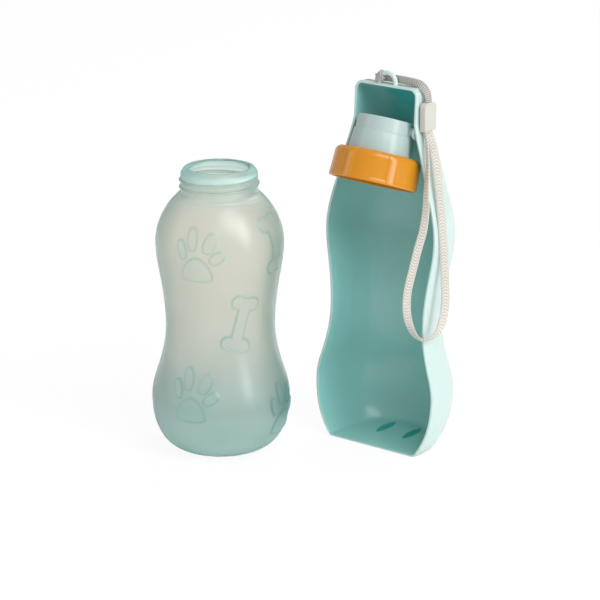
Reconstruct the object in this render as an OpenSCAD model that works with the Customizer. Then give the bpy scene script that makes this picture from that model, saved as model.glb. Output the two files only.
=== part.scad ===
// Squeeze water bottle for dogs, with a fold-out drinking tray.
// The bottle's neck screws into the collar of a spout that is hinged in the tray's narrow top.
// Here the bottle stands unscrewed beside the tray.
// Origin: on the surface that both stand on, at the centre of the tray's round back.
// +X to the right across the tray's opening, the opening faces -Y, +Z up.

/* [Bottle body] */
// Height of the bottle, from its base to its lip
bottle_h = 174.6; // [168:0.1:190]
// Radius where the flank leaves the rounded base edge
base_r = 36.6; // [35:0.1:38]
// Rounding of the base edge
base_round = 20; // [14:0.1:22]
// Angle over which the base edge is rounded
base_angle = 60; // [50:1:64]
// Largest radius of the lower bulge
belly_r = 41.8; // [38:0.1:46]
// Height of the lower bulge
belly_z = 33.5; // [28:0.1:38]
// Radius of the grip waist
waist_r = 32.9; // [28:0.1:36]
// Height of the grip waist
waist_z = 78; // [70:0.1:86]
// Largest radius of the upper bulge
chest_r = 38.5; // [35:0.1:42]
// Height of the upper bulge
chest_z = 129; // [120:0.1:134]
// Drop of the shoulder from the neck's foot to where it steepens
shoulder_drop = 11.5; // [9:0.1:14]
// Radius where the shoulder steepens
shoulder_r = 33; // [30:0.1:35]
// Wall of the blow-moulded body
bottle_wall = 1.2; // [0.8:0.1:2]
// How far the paw prints and bones stand proud
print_proud = 0.6; // [0.3:0.1:1]
// Width of a paw print's pad
pad_w = 18.6; // [14:0.1:20]
// Length of a bone's shaft
bone_len = 26; // [20:0.1:28]
// Width of a bone's shaft
bone_w = 7; // [5:0.1:8]
// Place of the bottle's axis beside the tray, along X
bottle_x = -74.5; // [-120:0.5:-74]
// Place of the bottle's axis in front of the tray's back, along Y
bottle_y = -60.4; // [-90:0.1:-50]

/* [Neck and thread] */
// Height of the neck
neck_h = 14.8; // [13:0.1:18]
// Root radius of the neck thread
neck_r = 23; // [21:0.1:24]
// Depth of the neck thread
thread_depth = 1; // [0.6:0.1:1.3]
// Pitch of the neck thread
thread_pitch = 4.3; // [3.6:0.1:4.5]
// Radius of the mouth
mouth_r = 18.2; // [17.8:0.1:19]
// Width of the flat lip
lip_w = 2; // [1.5:0.1:2.6]
// Depth of the lip's bore
lip_depth = 3.6; // [3:0.1:5]

/* [Tray] */
// Height of the tray along its rim
tray_h = 223.8; // [218:0.1:240]
// Wall of the tray
tray_wall = 1.8; // [1.2:0.1:2]
// Thickness of the tray's floor at the rim
floor_t = 1.2; // [1:0.1:1.6]
// Rise of the tray's floor to the back, in degrees
floor_rise = 3.3; // [3.2:0.1:4]
// Side clearance of the stowed bottle in the tray
nest_gap = 0.5; // [0.4:0.1:1]
// Height of the tray's bulges over the stowed bottle's
nest_up = 1.3; // [0:0.1:1.4]
// Depth of the straight side walls in front of the round back
side_depth = 7.5; // [6:0.1:12]
// Half the width of the flat base
tray_base_w = 30.2; // [29:0.1:32]
// Half the width of the straight top part
tray_top_w = 22.9; // [22.5:0.1:24]
// Length of the straight top part
tray_top_len = 21.6; // [20:0.1:24]
// Length of the narrowing shoulder under the top part
shoulder_len = 32.7; // [30:0.1:34]
// Half the width that the tray gains down the shoulder
shoulder_gain = 9.5; // [9:0.1:10]
// Corner radius of the top
top_corner_r = 5.5; // [3:0.1:7]
// Radius of the top's rounded back
top_back_r = 28; // [20:0.1:29]
// How far the tray leans back as it stands
lean = 3; // [1:0.1:4]
// Length of a heel pocket in the floor
pocket_len = 21; // [16:0.1:22]
// Width of a heel pocket
pocket_w = 6.4; // [4:0.1:7]
// Depth of a heel pocket
pocket_depth = 1.9; // [1:0.1:2]
// Distance of each heel pocket from the middle
pocket_x = 10; // [8:0.1:14]
// Distance of the heel pockets behind the rim
pocket_y = 29; // [27:0.1:31]

/* [Lanyard eye] */
// Height of the lanyard eye over the tray
eye_h = 8; // [7:0.1:11]
// Width of the lanyard eye
eye_w = 14.5; // [13:0.1:18]
// Thickness of the lanyard eye
eye_t = 2.8; // [2:0.1:3.2]

/* [Spout] */
// Drop of the fold axis under the tray's top
pivot_drop = 27.3; // [25:0.1:28]
// Distance of the fold axis behind the rim
pivot_y = 5; // [4.6:0.1:8]
// Distance of the spout's own axis in front of the fold axis
spout_fore = 4.4; // [3:0.1:5]
// How far the spout hangs forward of its stowed direction
spout_tilt = 17.5; // [0:0.5:100]
// Height of the spout's top over the fold axis
spout_up = 5; // [4.4:0.1:6]
// Radius of the spout's top part
spout_top_r = 16.9; // [15:0.1:17.2]
// Height of the spout's top part
spout_top_h = 8.2; // [6:0.1:9]
// Taper of the spout's top part, in radius
spout_taper = 0.2; // [0:0.1:0.6]
// Height of the spout's lower part under the step
spout_low_h = 12.4; // [12:0.1:13]
// Radius of the spout's lower part under the step
spout_low_r = 17.8; // [17:0.1:18]
// Radius of the spout's foot
spout_foot_r = 18.9; // [18.4:0.1:19.4]
// Length of the spout's skirt in the bottle's mouth
skirt_len = 6; // [4:0.1:7]
// Wall of the spout
spout_wall = 1.5; // [1:0.1:2]
// Radius of the water outlet
outlet_r = 4; // [3:0.1:5]
// Radius of a hinge stub
stub_r = 2; // [1.5:0.1:2.5]
// Radius of the tray's boss round a stub's hole
stub_boss_r = 4.2; // [3.6:0.1:4.6]
// How far the tray's bosses stand proud inside
boss_proud = 1.5; // [0.5:0.1:1.8]
// Radius of the spout's boss behind a stub
spout_boss_r = 3; // [2.6:0.1:4]
// Running clearance of a hinge stub in its hole
stub_gap = 0.06; // [0.03:0.01:0.1]
// Depth of the hinge stub's hole
stub_depth = 1.9; // [1.5:0.1:2]
// Side play between the hinge bosses
boss_gap = 0.4; // [0.2:0.1:0.6]

/* [Collar] */
// Height of the collar
collar_h = 18.5; // [16:0.1:19]
// Outer radius at the collar's foot
collar_foot_r = 26.6; // [26.4:0.1:27]
// Outer radius at the collar's top
collar_top_r = 25.8; // [25.7:0.1:26]
// Rounding of the collar's top edge
collar_round = 3; // [2:0.1:4]
// Thickness of the collar's top plate
collar_plate = 1.4; // [1:0.1:1.6]
// Number of grip panels
panel_count = 6; // [4:1:8]
// Width of a grip panel in degrees
panel_angle = 48; // [36:1:50]
// Depth of a grip panel
panel_depth = 0.4; // [0.2:0.1:0.6]
// Direction of the first grip panel's edge
panel_start = 32.4; // [0:0.1:60]
// Plain band under the grip panels
panel_band = 2; // [1.5:0.1:3]
// Clearance of the neck thread in the collar
thread_gap = 0.4; // [0.3:0.05:0.5]
// Length of the collar's thread
thread_len = 9.2; // [7:0.1:9.4]
// Depth of the relief above the collar's thread
relief_depth = 0.4; // [0.35:0.05:0.5]
// Running gap between the collar and the spout
collar_gap = 0.1; // [0.1:0.05:0.3]
// Thickness of the spout's flange in the collar
flange_t = 1.1; // [0.8:0.1:1.4]
// Thickness of the neck gasket
gasket_t = 1.3; // [0.8:0.1:1.5]

/* [Drinking valve] */
// Radius of the silicone valve
valve_r = 6.8; // [5.5:0.1:7.5]
// Thickness of the silicone valve's rim
valve_t = 1; // [0.8:0.1:1.4]
// Height of the retainer under the valve
retainer_h = 1.8; // [1.4:0.1:2.4]
// Wall of the valve's seat
seat_wall = 1.2; // [1:0.1:1.6]

/* [Wrist strap] */
// Width of the bead along the tray's side
bead_w = 11.3; // [9:0.1:13]
// Thickness of the bead
bead_t = 4.2; // [4:0.1:6]
// Height of the bead
bead_h = 17; // [15:0.1:19]
// Gap between the bead and the tray
bead_gap = 1.1; // [0.6:0.1:1.4]
// Height of the bead's foot over the surface that the tray stands on
bead_z = 198; // [196:0.1:200]
// Width of the grey tape
tape_w = 4.8; // [3:0.1:5.2]
// Thickness of the grey tape
tape_t = 1.2; // [0.8:0.1:1.6]
// Gap between the tape's sewn loop and the bar of the eye that it holds
loop_gap = 0.3; // [0.1:0.1:0.5]
// Width of the wrist webbing
web_w = 5; // [4:0.1:6]
// Thickness of the wrist webbing
web_t = 1.2; // [0.8:0.1:1.6]

/* [Hidden] */
$fn = 96;
eps = 0.01;
far = 100;
steps = 5;

// Bottle outline
neck_z = bottle_h - neck_h;
lip_r = mouth_r + lip_w;
neck_bore_r = neck_r - bottle_wall - 0.2;
base_flat = base_r - base_round * sin(base_angle);
base_top = base_round * (1 - cos(base_angle));
bottle_stations = [
    [base_top, base_r, 1 / tan(base_angle)],
    [belly_z, belly_r, 0],
    [(belly_z + waist_z) / 2, (belly_r + waist_r) / 2 - 1, -0.28],
    [waist_z, waist_r, 0],
    [(waist_z + chest_z) / 2 + 2, (waist_r + chest_r) / 2 - 0.2, 0.17],
    [chest_z, chest_r, 0],
    [neck_z - shoulder_drop, shoulder_r, -0.58],
    [neck_z, neck_r, -1.3]
];

// Bore of the collar and what the neck stops against
collar_top = spout_up - spout_top_h - spout_low_h;
collar_bore_r = neck_r + thread_depth + thread_gap;
flange_top = collar_top - collar_plate - collar_gap;
gasket_top = flange_top - flange_t;
lip_stop = gasket_top - gasket_t;

// Tray outline, from the stowed bottle's
pivot_z = tray_h - pivot_drop;
nest_lift = pivot_z + lip_stop - bottle_h + nest_up;
nest_r = nest_gap + tray_wall;
kink_z = tray_h - tray_top_len;
tray_edge_z = 2;
tray_stations = [
    [tray_edge_z, tray_base_w + 3.4, 0.75],
    [belly_z + nest_lift, belly_r + nest_r, 0],
    [(belly_z + waist_z) / 2 + nest_lift, (belly_r + waist_r) / 2 - 1 + nest_r, -0.28],
    [waist_z + nest_lift, waist_r + nest_r, 0],
    [(waist_z + chest_z) / 2 + 2 + nest_lift, (waist_r + chest_r) / 2 - 0.2 + nest_r, 0.17],
    [chest_z + nest_lift, chest_r + nest_r, 0],
    [kink_z - shoulder_len, tray_top_w + shoulder_gain, -0.27],
    [kink_z - shoulder_len * 0.45, tray_top_w + shoulder_gain * 0.43, -0.34],
    [kink_z, tray_top_w, -0.2]
];
// Spindle that cuts a heel pocket
pocket_r = (pocket_w * pocket_w / 4 + pocket_depth * pocket_depth) / (2 * pocket_depth);
pocket_reach = pocket_len / 2 / sqrt(pocket_depth / pocket_r);

// Hinge
stub_x = tray_top_w - tray_wall - boss_proud;
stub_end = stub_x + stub_depth;
spout_boss_x = stub_x - boss_gap;
rim_y = -side_depth;

// Lanyard eye's bar and the tape's loop round it
eye_y = rim_y + eye_t / 2 + 0.2;
eye_r = (eye_w - eye_t) / 2;
eye_leg = eye_h - eye_w / 2;
loop_angle = tape_w / eye_r * 180 / PI;
loop_start = 125;

// Paw print: [across, up, width, length, turn] of each toe from the middle of the pad, in pad widths
toes = [[-0.49, 0.62, 0.28, 0.68, 14], [-0.14, 0.98, 0.31, 0.8, 3],
        [0.43, 0.86, 0.36, 0.74, -20], [0.66, 0.38, 0.32, 0.58, -50]];
// Ornaments: [angle round the bottle, height, turn]
facing = -49.8;
paws = [[-21.3, 121.2, 0], [-26.3, 35, 0], [62, 21.5, 0], [158.7, 121.2, 0], [153.7, 35, 0]];
bones = [[20.6, 86.5, -13], [58, 132.5, 8], [200.6, 86.5, -13]];

// Strap
bead_x = tray_top_w + bead_gap + bead_t / 2;
bead_y = 10.9;
strap_grip = 3;
view_dir = [-0.62, 0.78, 0];
// Routes: [x, y, z, turn of the width out of the plane that faces the front right]
tape_route = [[26, 10.9, 213, 40], [26, 10.9, 217, 36], [25.4, 10.5, 220.4, 30], [23.6, 9.8, 223.4, 20],
              [20.8, 9.2, 225.4, 10], [16, 9, 226.1, 0], [11, 9, 226.3, 0], [6, 9, 226.4, 0],
              [1, 8.9, 226.5, 0], [-3, 8.6, 226.5, 0], [-6.6, 8, 226.4, 0], [-9.4, 7, 226, -10]];
web_route = [[26.2, 7.5, 200, 70], [26.7, 7.3, 196, 72], [29, 6, 191, 74], [32.4, 2.2, 181, 72],
             [34, -0.4, 172, 64], [34.4, -1.6, 163, 52], [35.2, -2.8, 154, 38], [34.2, -3.8, 142, 20],
             [31.8, -5.6, 130, 8], [29.2, -6.6, 118, 0], [26.6, -7.4, 106, 0], [25.6, -7.8, 96, 0],
             [26.6, -7.7, 87, 12], [29.2, -7.3, 80.6, 35], [33, -6.9, 76.4, 55], [37, -5.8, 75, 64],
             [41, -2.8, 76.6, 55], [43.8, -0.2, 80.6, 35], [45, 2.2, 87, 14], [45.4, 3.8, 96, 4],
             [44.8, 4.6, 106, 0], [44, 4.6, 118, 0], [43.4, 4.4, 130, 0], [42, 4.6, 143, 0],
             [40, 5.2, 156, 0], [37.4, 6.4, 168, 0], [34.4, 8, 179, 0], [31.2, 9.8, 188, 0],
             [27.6, 11.2, 194.4, 6], [26.2, 11.6, 197, 10], [26, 11.7, 200, 12]];

// Smooth curve between two stations [height, radius, slope]
function blend_r(a, b, t) =
    let (len = b[0] - a[0])
    (2*t*t*t - 3*t*t + 1) * a[1] + (t*t*t - 2*t*t + t) * len * a[2]
    + (3*t*t - 2*t*t*t) * b[1] + (t*t*t - t*t) * len * b[2];
// Outline points [radius, height] through all stations, moved in by a wall
function outline(st, inset = 0) = [
    for (i = [0:len(st) - 2]) for (j = [0:steps - 1])
        [blend_r(st[i], st[i + 1], j / steps) - inset, st[i][0] + (st[i + 1][0] - st[i][0]) * j / steps],
    [st[len(st) - 1][1] - inset, st[len(st) - 1][0]]
];

// Tube with a flat oval section along a route
function unit(v) = v / norm(v);
function along(route, i) =
    let (a = route[max(i - 1, 0)], b = route[min(i + 1, len(route) - 1)])
    unit([b[0] - a[0], b[1] - a[1], b[2] - a[2]]);
function ring_points(route, i, w, t, sides) =
    let (dir = along(route, i), across = unit(cross(dir, view_dir)), face = cross(dir, across),
         turn = route[i][3], c = [route[i][0], route[i][1], route[i][2]])
    [for (s = [0:sides - 1])
        let (a = 360 * s / sides, u = w / 2 * cos(a), v = t / 2 * sin(a))
        c + across * (u * cos(turn) - v * sin(turn)) + face * (u * sin(turn) + v * cos(turn))];
module band(route, w, t, sides = 8) {
    rings = len(route);
    polyhedron(
        points = [for (i = [0:rings - 1]) each ring_points(route, i, w, t, sides)],
        faces = concat(
            [[for (s = [0:sides - 1]) s]],
            [for (i = [0:rings - 2]) for (s = [0:sides - 1])
                [i * sides + (s + 1) % sides, i * sides + s,
                 (i + 1) * sides + s, (i + 1) * sides + (s + 1) % sides]],
            [[for (s = [0:sides - 1]) (rings - 1) * sides + sides - 1 - s]]),
        convexity = 6);
}

// Places
module in_tray() {
    translate([0, rim_y, 0]) rotate([-lean, 0, 0]) translate([0, side_depth, 0]) children();
}
module in_spout() {
    in_tray() translate([0, rim_y + pivot_y, pivot_z]) rotate([-spout_tilt, 0, 0])
        translate([0, -spout_fore, 0]) children();
}
module on_bottle() {
    translate([bottle_x, bottle_y, 0]) children();
}

// Bottle
function base_arc(inset, proud = 0) = [
    for (a = [0:base_angle / 8:base_angle - 1]) let (r = base_round - inset)
        [base_flat + proud + r * sin(a), base_round - r * cos(a)]];
module bottle_outside(proud = 0) {
    polygon(concat([[0, 0]], base_arc(0, proud), outline(bottle_stations, -proud), [[0, neck_z]]));
}
module bottle_inside() {
    polygon(concat([[0, bottle_wall]], base_arc(bottle_wall),
                   [for (p = outline(bottle_stations, bottle_wall))
                       if (p[1] > base_top && p[1] < neck_z - 1) p],
                   [[neck_bore_r, neck_z], [neck_bore_r, bottle_h - lip_depth - 2.4],
                    [mouth_r, bottle_h - lip_depth], [mouth_r, bottle_h + 1], [0, bottle_h + 1]]));
}
module neck_outside() {
    polygon([[0, neck_z - 1], [neck_r, neck_z - 1], [neck_r, bottle_h - 3.4],
             [neck_r - 0.8, bottle_h - 1.7], [lip_r + 0.9, bottle_h - 0.5],
             [lip_r, bottle_h], [0, bottle_h]]);
}
module thread_ridge(root, depth, width) {
    polygon([[root - eps, -width], [root + depth, -width / 3], [root + depth, width / 3], [root - eps, width],
             [root - 0.5, width], [root - 0.5, -width]]);
}
module leaf(width, length) {
    reach = (length * length + width * width) / (4 * width);
    intersection() {
        translate([reach - width / 2, 0]) circle(r = reach);
        translate([width / 2 - reach, 0]) circle(r = reach);
    }
}
module paw_print() {
    scale(pad_w) {
        translate([0, 0.05]) circle(r = 0.36);
        for (side = [-1, 1]) translate([side * 0.27, -0.14]) circle(r = 0.23);
        for (t = toes) translate([t[0], t[1]]) rotate(t[4]) leaf(t[2], t[3]);
    }
}
module bone_print() {
    square([bone_w, bone_len], center = true);
    for (end = [-1, 1]) {
        for (side = [-1, 1]) translate([side * bone_w * 0.63, end * bone_len / 2]) circle(r = bone_w * 0.61);
        translate([0, end * bone_len / 2]) circle(r = bone_w * 0.53);
    }
}
module print_at(place) {
    rotate([0, 0, facing + place[0]]) translate([0, 0, place[1]]) rotate([90, 0, 90])
        linear_extrude(height = 2 * belly_r) rotate(place[2]) children();
}
module bottle() {
    color("paleturquoise", 0.7) on_bottle() difference() {
        union() {
            rotate_extrude() bottle_outside();
            rotate_extrude() neck_outside();
            for (turn = [0:2]) translate([0, 0, neck_z + 3 + turn * thread_pitch])
                rotate_extrude() thread_ridge(neck_r, thread_depth, 0.9);
            intersection() {
                rotate_extrude() bottle_outside(print_proud);
                union() {
                    for (p = paws) print_at(p) paw_print();
                    for (b = bones) print_at(b) bone_print();
                }
            }
        }
        rotate_extrude() bottle_inside();
    }
}

// Tray
function tray_corner(top, w, r) = [for (a = [0:18:90]) [w - r + r * cos(a), top - r + r * sin(a)]];
module tray_half(inset) {
    polygon(concat(
        inset > 0 ? [[0, -1], [tray_base_w + 1, -1]] : [[0, 0], [tray_base_w, 0], [tray_base_w + 2.1, 0.6]],
        outline(tray_stations, inset),
        tray_corner(tray_h - inset, tray_top_w - inset, top_corner_r - inset),
        [[0, tray_h - inset]]));
}
module tray_form(inset, front) {
    intersection() {
        union() {
            intersection() {
                rotate_extrude() tray_half(inset);
                translate([-far, -eps, -far]) cube([2 * far, 2 * far, 4 * far]);
            }
            rotate([90, 0, 0]) linear_extrude(height = front) {
                tray_half(inset);
                mirror([1, 0]) tray_half(inset);
            }
        }
        translate([-far, 0, 0]) rotate([90, 0, 90]) linear_extrude(height = 2 * far) {
            translate([-front - 1, -far]) square([front + 1 + tray_top_w - top_back_r, far + tray_h]);
            translate([-front - 1, -far]) square([far + front, far + tray_h - top_back_r]);
            translate([tray_top_w - top_back_r, tray_h - top_back_r]) circle(r = top_back_r - inset);
        }
    }
}
module in_floor() {
    translate([0, rim_y, floor_t]) rotate([floor_rise, 0, 0]) translate([0, -rim_y, 0]) children();
}
module heel_pockets() {
    for (side = [-1, 1]) in_floor()
        translate([side * pocket_x, rim_y + pocket_y, pocket_r - pocket_depth]) rotate([-90, 0, 0])
            rotate_extrude() polygon([for (t = [-1:0.125:1]) [pocket_r * (1 - t * t), pocket_reach * t]]);
}
module lanyard_eye() {
    translate([0, eye_y, tray_h + eye_leg]) {
        intersection() {
            rotate([90, 0, 0]) rotate_extrude() translate([eye_r, 0]) circle(d = eye_t);
            translate([-far, -far, 0]) cube([2 * far, 2 * far, far]);
        }
        for (side = [-1, 1]) translate([side * eye_r, 0, -eye_leg - tray_wall / 2])
            cylinder(d = eye_t, h = eye_leg + tray_wall / 2);
    }
}
module tray_shell() {
    color("mediumaquamarine") difference() {
        union() {
            difference() {
                intersection() {
                    in_tray() tray_form(0, side_depth);
                    translate([-far, -far, 0]) cube([2 * far, 2 * far, 4 * far]);
                }
                intersection() {
                    in_tray() tray_form(tray_wall, side_depth + 1);
                    union() {
                        in_floor() translate([-far, -far, 0]) cube([2 * far, 2 * far, 4 * far]);
                        heel_pockets();
                    }
                }
            }
            in_tray() intersection() {
                tray_form(0, side_depth);
                for (side = [-1, 1]) translate([side * stub_x, rim_y + pivot_y, pivot_z])
                    rotate([0, side * 90, 0]) cylinder(r = stub_boss_r, h = tray_top_w);
            }
            in_tray() lanyard_eye();
        }
        in_tray() for (side = [-1, 1]) translate([side * (stub_x - 1), rim_y + pivot_y, pivot_z])
            rotate([0, side * 90, 0]) cylinder(r = stub_r + stub_gap, h = stub_depth + 1);
    }
}

// Spout, measured along its axis from the fold axis
step_z = spout_up - spout_top_h;
seat_r = valve_r + 0.2;
skirt_end = gasket_top - skirt_len;
module spout_body() {
    color("azure") in_spout() difference() {
        union() {
            rotate_extrude() polygon([
                [0, spout_up], [spout_top_r - 0.6, spout_up], [spout_top_r, spout_up - 0.6],
                [spout_top_r + spout_taper, step_z], [spout_low_r - 0.4, step_z], [spout_low_r, step_z - 0.4],
                [spout_foot_r, collar_top], [spout_foot_r, flange_top], [neck_r - 0.4, flange_top],
                [neck_r - 0.4, gasket_top], [mouth_r - 1, gasket_top], [mouth_r - 1, skirt_end],
                [0, skirt_end]]);
            for (side = [-1, 1]) translate([0, spout_fore, 0]) rotate([0, side * 90, 0]) {
                cylinder(r = spout_boss_r, h = spout_boss_x);
                cylinder(r = stub_r, h = stub_end - 0.2);
            }
        }
        difference() {
            rotate_extrude() polygon([
                [0, spout_up - spout_wall], [spout_top_r - spout_wall, spout_up - spout_wall],
                [spout_top_r - spout_wall, step_z - spout_wall],
                [spout_low_r - spout_wall, step_z - 2 * spout_wall],
                [mouth_r - 2.4, collar_top], [mouth_r - 2.4, skirt_end - 1], [0, skirt_end - 1]]);
            translate([0, 0, spout_up - spout_wall - valve_t - retainer_h])
                cylinder(r = seat_r + seat_wall, h = valve_t + retainer_h + 1);
        }
        translate([0, 0, spout_up - spout_wall - valve_t - retainer_h - 1])
            cylinder(r = seat_r, h = valve_t + retainer_h + 1);
        cylinder(r = outlet_r, h = spout_up + 1);
    }
}
module slit_valve() {
    valve_top = spout_up - spout_wall;
    color("whitesmoke") in_spout() difference() {
        rotate_extrude() polygon([
            [0, valve_top + 0.9], [outlet_r - 1.2, valve_top + 0.7], [outlet_r - 0.2, valve_top],
            [valve_r, valve_top], [valve_r, valve_top - valve_t], [outlet_r - 0.4, valve_top - valve_t],
            [outlet_r - 1.4, valve_top], [0, valve_top + 0.1]]);
        translate([-2, -0.1, 0]) cube([4, 0.2, spout_up]);
    }
}
module valve_retainer() {
    color("azure") in_spout() translate([0, 0, spout_up - spout_wall - valve_t - retainer_h]) difference() {
        cylinder(r = seat_r, h = retainer_h);
        translate([0, 0, -1]) cylinder(r = outlet_r + 0.6, h = retainer_h + 2);
    }
}
module neck_gasket() {
    color("whitesmoke") in_spout() translate([0, 0, lip_stop]) difference() {
        cylinder(r = neck_r - 0.6, h = gasket_t);
        translate([0, 0, -1]) cylinder(r = mouth_r - 0.9, h = gasket_t + 2);
    }
}

// Screw collar
module collar_outside(inset) {
    polygon([
        [0, 0], [collar_foot_r - inset, 0], [collar_top_r - inset + 0.15, collar_h - collar_round],
        for (a = [0:18:90]) [collar_top_r - inset - collar_round + collar_round * cos(a),
                             collar_h - collar_round + collar_round * sin(a)],
        [0, collar_h]]);
}
module collar_ring() {
    color("goldenrod") in_spout() translate([0, 0, collar_top - collar_h]) difference() {
        rotate_extrude() collar_outside(0);
        for (i = [0:panel_count - 1]) rotate([0, 0, 360 / panel_count * i + panel_start]) difference() {
            translate([0, 0, panel_band]) rotate_extrude(angle = panel_angle)
                translate([spout_foot_r + 3, 0]) square([collar_foot_r, collar_h]);
            rotate_extrude() collar_outside(panel_depth);
        }
        translate([0, 0, -1]) cylinder(r = collar_bore_r, h = collar_h - collar_plate + 1);
        translate([0, 0, thread_len]) cylinder(r = collar_bore_r + relief_depth, h = thread_pitch);
        cylinder(r = spout_foot_r + collar_gap + 0.1, h = collar_h + 1);
    }
}

// Strap
module sewn_loop() {
    $fn = 32;
    translate([0, eye_y, tray_h + eye_leg]) rotate([90, 0, 0]) rotate([0, 0, loop_start])
        rotate_extrude(angle = loop_angle) translate([eye_r, 0]) difference() {
            circle(r = eye_t / 2 + loop_gap + tape_t);
            circle(r = eye_t / 2 + loop_gap);
        }
}
module strap_tape() {
    color("darkgray") {
        in_tray() sewn_loop();
        band(tape_route, tape_w, tape_t);
    }
}
module strap_bead() {
    dome = bead_w / 4;
    color("ivory") translate([bead_x, bead_y, bead_z]) {
        translate([-bead_t / 2, -bead_w / 2, 0]) cube([bead_t, bead_w, bead_h - dome]);
        translate([-bead_t / 2, 0, bead_h - dome]) rotate([0, 90, 0])
            for (side = [-1, 1]) translate([0, side * (bead_w / 2 - dome), 0]) cylinder(r = dome, h = bead_t);
        translate([-bead_t / 2, -bead_w / 2 + dome, 0]) cube([bead_t, bead_w - 2 * dome, bead_h]);
    }
}
module strap_webbing() {
    color("linen") band(web_route, web_w, web_t);
}

tray_shell();
bottle();
spout_body();
slit_valve();
valve_retainer();
neck_gasket();
collar_ring();
strap_tape();
strap_bead();
strap_webbing();
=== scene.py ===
# Dog travel water bottle beside its fold-out drinking tray.
# Sizes are in millimetres, and each finished mesh is scaled to metres.
import math

import bmesh
import bpy
from mathutils import Matrix, Vector


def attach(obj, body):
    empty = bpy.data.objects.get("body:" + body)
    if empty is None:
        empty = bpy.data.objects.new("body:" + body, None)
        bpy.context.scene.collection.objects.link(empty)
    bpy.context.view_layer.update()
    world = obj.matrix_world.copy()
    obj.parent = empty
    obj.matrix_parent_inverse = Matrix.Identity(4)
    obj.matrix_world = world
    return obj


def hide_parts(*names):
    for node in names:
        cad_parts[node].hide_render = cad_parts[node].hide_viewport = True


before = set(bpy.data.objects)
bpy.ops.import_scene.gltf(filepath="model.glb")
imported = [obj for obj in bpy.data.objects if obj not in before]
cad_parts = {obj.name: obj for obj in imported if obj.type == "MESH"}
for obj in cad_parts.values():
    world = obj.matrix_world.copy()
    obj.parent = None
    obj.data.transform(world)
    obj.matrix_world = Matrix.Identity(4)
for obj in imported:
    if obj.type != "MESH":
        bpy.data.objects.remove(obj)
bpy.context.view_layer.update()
print("frame loaded:", sorted(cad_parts))


def rgb(red, green, blue):
    # screen colour 0-255 to the linear colour that shaders use
    return tuple(c / 12.92 if c <= 0.04045 else ((c + 0.055) / 1.055) ** 2.4
                 for c in (red / 255, green / 255, blue / 255)) + (1.0,)


def mix(a, b, t):
    return a + (b - a) * t


def ease(t):
    t = min(max(t, 0.0), 1.0)
    return t * t * (3 - 2 * t)


# camera
shot = {
    "place": (910.2, -1225.6, 558.1),
    "turn": 38.4,
    "down": 17.0,
    "lens": 159.0,
}


def addCamera(settings):
    data = bpy.data.cameras.new("shotCamera")
    data.lens = settings["lens"]
    data.sensor_width = 36.0
    data.clip_start = 0.05
    data.clip_end = 20.0
    camera = bpy.data.objects.new("shotCamera", data)
    bpy.context.scene.collection.objects.link(camera)
    camera.location = Vector(settings["place"]) * 0.001
    camera.rotation_euler = (math.radians(90 - settings["down"]), 0,
                             math.radians(settings["turn"]))
    bpy.context.scene.camera = camera


addCamera(shot)
print("camera placed")


# shader helpers
def newMaterial(name):
    material = bpy.data.materials.new(name)
    material.use_nodes = True
    tree = material.node_tree
    return material, tree, tree.nodes["Principled BSDF"]


def addNode(tree, kind, **values):
    node = tree.nodes.new(kind)
    for key, value in values.items():
        if hasattr(node, key):
            setattr(node, key, value)
        else:
            node.inputs[key].default_value = value
    return node


def rampNode(tree, source, stops):
    ramp = addNode(tree, "ShaderNodeValToRGB")
    elements = ramp.color_ramp.elements
    for extra in stops[2:]:
        elements.new(0.5)
    for element, (place, colour) in zip(elements, stops):
        element.position = place
        element.color = colour
    tree.links.new(source, ramp.inputs["Fac"])
    return ramp


def bumpNode(tree, source, shader, strength, distance):
    bump = addNode(tree, "ShaderNodeBump", Strength=strength, Distance=distance)
    tree.links.new(source, bump.inputs["Height"])
    tree.links.new(bump.outputs["Normal"], shader.inputs["Normal"])


# moulded plastic with a faint cloudiness in its colour and a fine spark-eroded grain
def mouldedPlastic(name, colour, deeper, roughness, grain=0.05, coat=0.0):
    material, tree, shader = newMaterial(name)
    place = addNode(tree, "ShaderNodeTexCoord")
    cloud = addNode(tree, "ShaderNodeTexNoise", Scale=38.0, Detail=3.0, Roughness=0.5)
    tree.links.new(place.outputs["Object"], cloud.inputs["Vector"])
    tint = rampNode(tree, cloud.outputs["Fac"], [(0.3, deeper), (0.7, colour)])
    tree.links.new(tint.outputs["Color"], shader.inputs["Base Color"])
    gloss = addNode(tree, "ShaderNodeMapRange")
    gloss.inputs["To Min"].default_value = roughness - 0.03
    gloss.inputs["To Max"].default_value = roughness + 0.04
    tree.links.new(cloud.outputs["Fac"], gloss.inputs["Value"])
    tree.links.new(gloss.outputs["Result"], shader.inputs["Roughness"])
    fine = addNode(tree, "ShaderNodeTexNoise", Scale=1400.0, Detail=2.0)
    tree.links.new(place.outputs["Object"], fine.inputs["Vector"])
    bumpNode(tree, fine.outputs["Fac"], shader, grain, 0.0001)
    shader.inputs["IOR"].default_value = 1.49
    shader.inputs["Coat Weight"].default_value = coat
    shader.inputs["Coat Roughness"].default_value = 0.08
    return material


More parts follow.
